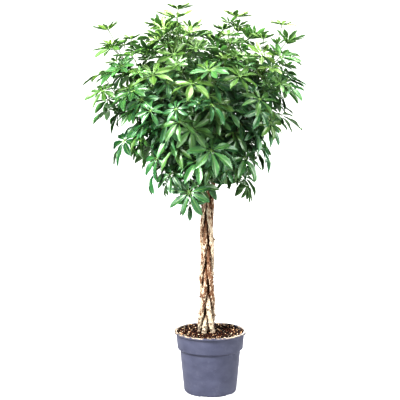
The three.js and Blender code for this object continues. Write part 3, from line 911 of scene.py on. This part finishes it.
# Leaves that the solids leave out. draws is the first of the numbers that their growth is drawn for.
addedLeaves = {
    # along the shoot, filling the crown and facing up and out
    "side": {
        "draws": 21, "count": (6, 12), "along": (0.14, 0.97), "uneven": 0.5, "rank": 0.55,
        "size": (0.62, 0.82), "up": 0.5, "stray": 0.7, "open": 0.5, "tilt": 0.8, "leafReach": 0.9,
    },
    # on short stalks near the shoot, so that the crown isn't hollow
    "inner": {
        "draws": 61, "count": 5, "along": (0.2, 0.75), "growth": 0.4, "stalk": 0.55,
        "rise": 0.3, "tilt": 1.4, "rank": 0.1, "size": 0.95,
    },
    # small and bright round the shoot's tip
    "tip": {
        "draws": 41, "count": 2, "along": 0.99, "growth": 0.9, "stalk": (0.5, 0.65), "rank": 1.3,
        "size": (0.5, 0.6), "cupped": 0.35,
    },
}


def extraLeaves(plan, rng):
    a = addedLeaves["side"]
    leaves = []
    count = round(mix(*a["count"], plan["share"]))
    for k in range(count):
        along = mix(*a["along"], (k + a["uneven"] * rng.random()) / count)
        leaf = grownLeaf(plan, a["draws"] + k, along, a["rank"] * along)
        hub = leaf["hub"]
        # it turns a little to the front or back, where there is more light at the crown's sides
        towards = a["up"] * up + outwardFrom(hub) + a["stray"] * unit(rng.normal(size=3))
        leaf = tiltLeaf(leaf, towards + a["open"] * frontOrBack(hub), a["tilt"] * rng.random())
        leaf["length"] *= mix(*a["size"], rng.random())
        # no leaf may reach past the crown's outline
        reach = math.hypot(hub[0] - crownAxis(hub[2]), hub[1]) + a["leafReach"] * leaf["length"]
        if reach < np.interp(hub[2], *zip(*crownShape["reach"])):
            leaves.append(leaf)
    a = addedLeaves["inner"]
    for k in range(a["count"]):
        leaf = grownLeaf(plan, a["draws"] + k, mix(*a["along"], k / (a["count"] - 1)), a["growth"])
        leaf = tiltLeaf(shortenStalk(leaf, a["stalk"]), outwardFrom(leaf["hub"], a["rise"]), a["tilt"])
        leaves.append({**leaf, "rank": a["rank"], "length": leaf["length"] * a["size"]})
    a = addedLeaves["tip"]
    for k in range(a["count"]):
        leaf = grownLeaf(plan, a["draws"] + k, a["along"], a["growth"])
        leaf = shortenStalk(leaf, a["stalk"][k])
        leaf["droop"] -= a["cupped"]
        leaves.append({**leaf, "rank": a["rank"], "length": leaf["length"] * a["size"][k]})
    return leaves


# How a leaf's age and pose change with its height in the crown.
leafAge = {
    "seed": 200,
    "from": 1120, "over": 330,  # mm: below it all leaves are low, and past that height all are high
    "high": 0.95, "stray": 0.65, "least": -0.06,
    "low": 0.3, "lowRise": 0.4, "lowTilt": 0.4,  # below this share of high, a leaf tips to the front or back
    "droop": 0.62, "cupped": (0.1, 0.75), "size": 0.82,
    # the most that a leaf is cupped: less from 1350 mm up over 90 mm, to stay inside the plant's height
    "top": (1350, 90), "cup": (-1.0, -0.38),
}


def ageLeaf(leaf, rng):
    a = leafAge
    z = leaf["hub"][2]
    high = smooth((z - a["from"]) / a["over"])
    age = a["high"] * high * (0.5 + 0.5 * leaf["rank"]) + a["stray"] * rng.random() ** 2 + a["least"]
    leaf["age"] = float(np.clip(age, 0, 1))
    leaf["tint"] = rng.random()
    if high < a["low"]:
        leaf.update(tiltLeaf(leaf, frontOrBack(leaf["hub"], a["lowRise"]), a["lowTilt"] * rng.random()))
    droop = a["droop"] * leaf["droop"] - high * mix(*a["cupped"], rng.random())
    top, over = a["top"]
    leaf["droop"] = max(droop, mix(*a["cup"], smooth((z - top) / over)))
    leaf["length"] *= mix(1, a["size"], high)


leafletShape = {
    "count": (7, 9), "uneven": 0.22, "roll": 1.5, "swing": 0.12,
    "back": 0.8,  # the hindmost leaflet's length as a share of the foremost's
    "length": (0.9, 1.03), "width": (0.88, 1.08),  # the least and most that a draw makes of them
    "halfWidth": 14,
    "widest": 1.1, "blunt": 0.75,  # powers: over 1 moves the widest place tipwards, under 1 is fuller
    "sag": (0.35, 0.65), "sagStray": 0.3, "tipSag": 0.07, "flatter": 0.2,
    "stalkShare": 0.13, "stalkEnd": 0.24, "stalkHalf": 1.1, "tipHalf": 0.25, "flatOver": 4,
    "rib": 0.9, "ribTip": 0.3, "ribTaper": 1.4, "ribInBlade": 0.5, "skin": 0.7,
    "tintShare": 0.6,  # how much of a leaflet's tint is its leaf's
    "fold": 0.44, "bulge": 0.08, "ripple": 0.18, "ripples": 1.6,
    # shares of the length; shares of the half width, over the top and back below; and the height there
    # of a flat blade and of a round rib
    "rows": (0, 0.07, 0.13, 0.18, 0.26, 0.38, 0.52, 0.67, 0.8, 0.91, 1.0),
    "columns": (1, 0.45, 0, -0.45, -1, 0),
    "flatSection": (0, 1, 1, 1, 0, -1),
    "roundSection": (0, 0.75, 1, 0.75, 0, -1),
    "firstUnder": 4,  # the first column of the lower side
}


# Leaflets of a list of leaves, as one block of closed thin blades. Along a leaflet the middle line
# falls with distance as the leaf's umbrella does. The half width is a sine of a power of the length,
# which gives a blade that is widest past its middle and has a short point. Across it the blade is
# folded up a little from the rib and bulges between rib and edge.
def leafletBlock(leaves, rng):
    b = leafletShape
    s, v, flatSection, roundSection = (
        np.array(b[key]) for key in ("rows", "columns", "flatSection", "roundSection")
    )
    rows = []
    for owner, leaf in enumerate(leaves):
        count = int(rng.integers(b["count"][0], b["count"][1] + 1))
        for j in range(count):
            turn = leaf["twist"] + (j + b["uneven"] * (rng.random() - 0.5)) / count * fullTurn
            rows.append((owner, turn, rng.random(6)))
    owner, turn, chance = (np.array(part) for part in zip(*rows))
    hub, forward, across, facing, leafLength, droop, age, tint = (
        np.array([leaf[key] for leaf in leaves])[owner][:, None]
        for key in ("hub", "forward", "across", "facing", "length", "droop", "age", "tint")
    )
    turn = turn[:, None]
    lengthDraw, sagDraw, swingDraw, rollDraw, widthDraw, rippleDraw = chance.T[..., None]
    length = leafLength * mix(b["back"], 1, 0.5 + 0.5 * np.cos(turn)) * mix(*b["length"], lengthDraw)
    far = length * s
    share = far / leafLength
    radial = forward * np.cos(turn)[..., None] + across * np.sin(turn)[..., None]
    side = np.cross(facing, radial)
    inPlane = far * (1 - b["flatter"] * np.abs(droop) * share)
    near, outer = b["sag"]
    sag = (droop + b["sagStray"] * (sagDraw - 0.5)) * far * (near + outer * share)
    sag = sag + b["tipSag"] * length * s ** 3
    swing = b["swing"] * (swingDraw - 0.5) * length * s ** 2
    middle = hub + radial * inPlane[..., None] - facing * sag[..., None] + side * swing[..., None]
    along = unit(np.gradient(middle, axis=1))
    roll = (b["roll"] * (rollDraw - 0.5) * np.sqrt(s))[..., None]
    sideways = squareTo(along, unit(side * np.cos(roll) + facing * np.sin(roll)))
    normal = np.cross(along, sideways)
    blade = np.clip((s - b["stalkShare"]) / (1 - b["stalkShare"]), 0, 1)
    wide = b["halfWidth"] * (length / leafGrowth["length"]) * mix(*b["width"], widthDraw)
    outline = np.sin(math.pi * blade ** b["widest"]) ** b["blunt"]
    rib = b["rib"] * mix(1, b["ribTip"], smooth(blade * b["ribTaper"]))
    half = np.maximum(wide * outline, np.where(s < b["stalkEnd"], b["stalkHalf"], b["tipHalf"]))
    flat = smooth((half - b["stalkHalf"]) / b["flatOver"])[..., None]
    x = half[..., None] * v
    lift = b["fold"] * np.abs(x)
    bulge = b["bulge"] * half[..., None] * (np.abs(v) == v[1])
    wave = np.sin(fullTurn * (b["ripples"] * blade + rippleDraw))[..., None]
    ripple = b["ripple"] * x * wave * np.abs(v)
    height = flat * (lift + bulge + ripple + b["skin"] / 2 * flatSection)
    height = height + roundSection * rib[:, None] * mix(1, b["ribInBlade"], flat)
    points = middle[:, :, None] + sideways[:, :, None] * x[..., None]
    points = points + normal[:, :, None] * height[..., None]
    tint = mix(lengthDraw, tint, b["tintShare"])
    info = together(age[..., None], tint[..., None], s[:, None], 0.5 + 0.5 * v)
    under = np.broadcast_to(np.arange(len(v)) >= b["firstUnder"], x.shape)
    return {"points": points, "info": info, "under": under[:, :-1]}


stalkShape = {
    "radius": 1.9, "rows": 9, "sides": 6,
    "middle": 0.8, "foot": (0.5, 0.12), "head": (0.55, 0.06),  # how much an end swells, and over what share
}
twigShape = {"gap": 0.002, "rows": 18, "sides": 8, "ringHeight": 0.12, "rings": 40, "woody": (1.1, 1.6)}


# Leaf stalks: thin tubes on the same bent line as the solid's stalk, a little swollen at both ends.
def stalkBlock(leaves):
    b = stalkShape
    path = np.array([[leaf[key] for key in ("root", "bend", "hub")] for leaf in leaves])
    length, across, age = (np.array([leaf[key] for leaf in leaves]) for key in ("length", "across", "age"))
    t = np.linspace(0, 1, b["rows"])
    swell = b["middle"]
    for (amount, over), far in ((b["foot"], t), (b["head"], 1 - t)):
        swell = swell + amount * np.exp(-(far / over) ** 2)
    radius = b["radius"] * swell * (length / leafGrowth["length"])[:, None]
    grid = tubeGrid(bezier(path, t), radius[..., None], across[:, None], b["sides"])
    info = together(age[:, None, None] + np.zeros(grid.shape[:3]), 0, 0, 1)
    return {"points": grid, "info": info, "slot": 1}


# The green end of a shoot: a tapered tube from its woody branch, with faint rings where leaves fell.
def shootBlock(plan):
    b = twigShape
    t = np.linspace(branchShape["woodShare"] + b["gap"], 1, b["rows"])
    path = bezier(plan["path"], t)
    share = (t - t[0]) / (1 - t[0])
    rings = 1 + b["ringHeight"] * np.sin(share * b["rings"])
    radius = mix(branchShape["end"], branchShape["tip"], share) * rings
    grid = tubeGrid(path, radius[:, None], np.cross(path[-1] - path[0], up), b["sides"])
    most, fall = b["woody"]
    woody = smooth(most - fall * share)[:, None] + np.zeros(grid.shape[:2])
    return {"points": grid[None], "info": together(plan["share"], woody, 0, 1)[None], "slot": 1}


def makeShoots(plans, cuticle, skin):
    total = 0
    for plan in plans:
        number = f"{plan['index'] + 1:02d}"
        rng = np.random.default_rng(leafAge["seed"] + plan["index"])
        node = "leafy_shoot_" + number
        leaves = solidLeaves(plan, node) + extraLeaves(plan, rng)
        for leaf in leaves:
            ageLeaf(leaf, rng)
        total += len(leaves)
        surfaces = [leafletBlock(leaves, rng), stalkBlock(leaves), shootBlock(plan)]
        makePiece("leafyShoot" + number, surfaces, [cuticle, skin], node, sharpAngle=75)
    print("leaves made:", total)


# stage
studio = {
    "camera": (-40, -4200, 1258), "aim": (-40, 0, 752), "lens": 99, "sensor": 36,
    # the world's light on the plant and in its gloss; it is white to look at
    "world": 0.07, "mirrored": 0.05,
    "exposure": 0.54, "gamma": 0.63,
    # the share of white glow in the floor grows from glow to 1 between two distances in metres
    "floor": "#eeeeee", "glow": 0.55, "fade": (0.4, 1.9), "floorRadius": 2.0, "floorSides": 96,
    # name: place, aim, size, watts
    "lights": {
        "key": ((-2200, -2200, 3000), (-40, 0, 900), 1300, 285),
        "fill": ((2800, -1700, 1500), (-40, 0, 850), 1800, 110),
        "low": ((-2200, -2700, 600), (-40, 0, 1000), 1800, 58),
        "top": ((300, -300, 3700), (0, 0, 1000), 1800, 95),
        "back": ((1300, 3700, 1500), (-40, 0, 850), 2400, 120),
    },
}


def aimAt(thing, place, aim):
    thing.location = np.array(place) * millimetre
    look = np.array(aim, float) - np.array(place, float)
    flat = math.hypot(look[0], look[1])
    thing.rotation_euler = (math.atan2(flat, -look[2]), 0, math.atan2(-look[0], look[1]))


# pale matt board under the plant, glowing up to the backdrop's white away from it
def paleFloor():
    material, add, place = newMaterial("paleFloor")
    far = add("VectorMath", [place], operation="LENGTH")
    white = add("MapRange", [far, *studio["fade"], studio["glow"], 1], interpolation_type="SMOOTHSTEP")
    matt = add("BsdfDiffuse", [studio["floor"]])
    glow = add("Emission", ["#ffffff"])
    add("OutputMaterial", {"Surface": add("MixShader", [white, matt, glow])})
    return material


# soft light all round on the plant, and plain white to look at
def makeWorld():
    world = bpy.data.worlds.new("studioWorld")
    add = emptyTree(world)
    path = add("LightPath").outputs
    strength = add("MapRange", [path["Is Glossy Ray"], 0, 1, studio["world"], studio["mirrored"]])
    strength = add("Math", [strength, path["Is Camera Ray"]], operation="MAXIMUM")
    add("OutputWorld", {"Surface": add("Background", ["#ffffff", strength])})
    return world


def makeStage():
    scene = bpy.context.scene
    camera = addObject("camera", bpy.data.cameras.new("camera"))
    camera.data.lens = studio["lens"]
    camera.data.sensor_width = studio["sensor"]
    camera.data.clip_end = 60
    aimAt(camera, studio["camera"], studio["aim"])
    scene.camera = camera
    for name, (place, aim, size, watts) in studio["lights"].items():
        light = bpy.data.lights.new(name, "AREA")
        light.shape = "DISK"
        light.size = size * millimetre
        light.energy = watts
        aimAt(addObject(name, light), place, aim)
    rim = around(studio["floorRadius"], turnsOf(studio["floorSides"]), 0.0)
    mesh = bpy.data.meshes.new("floor")
    mesh.from_pydata(rim.tolist(), [], [tuple(range(len(rim)))])
    mesh.materials.append(paleFloor())
    addObject("floor", mesh)
    scene.world = makeWorld()
    scene.view_settings.view_transform = "Standard"
    scene.view_settings.look = "None"
    scene.view_settings.exposure = studio["exposure"]
    scene.view_settings.gamma = studio["gamma"]
    print("stage made")


makeStage()
makePot(mouldedPlastic())
makeSoil(dampPeat(), [chipMaterial(name, *look) for name, look in chipLook.items()])
plans = [shootPlan(i) for i in range(crownShape["shoots"])]
makeStems(plans, corkyBark())
makeShoots(plans, leafCuticle(), stalkSkin())
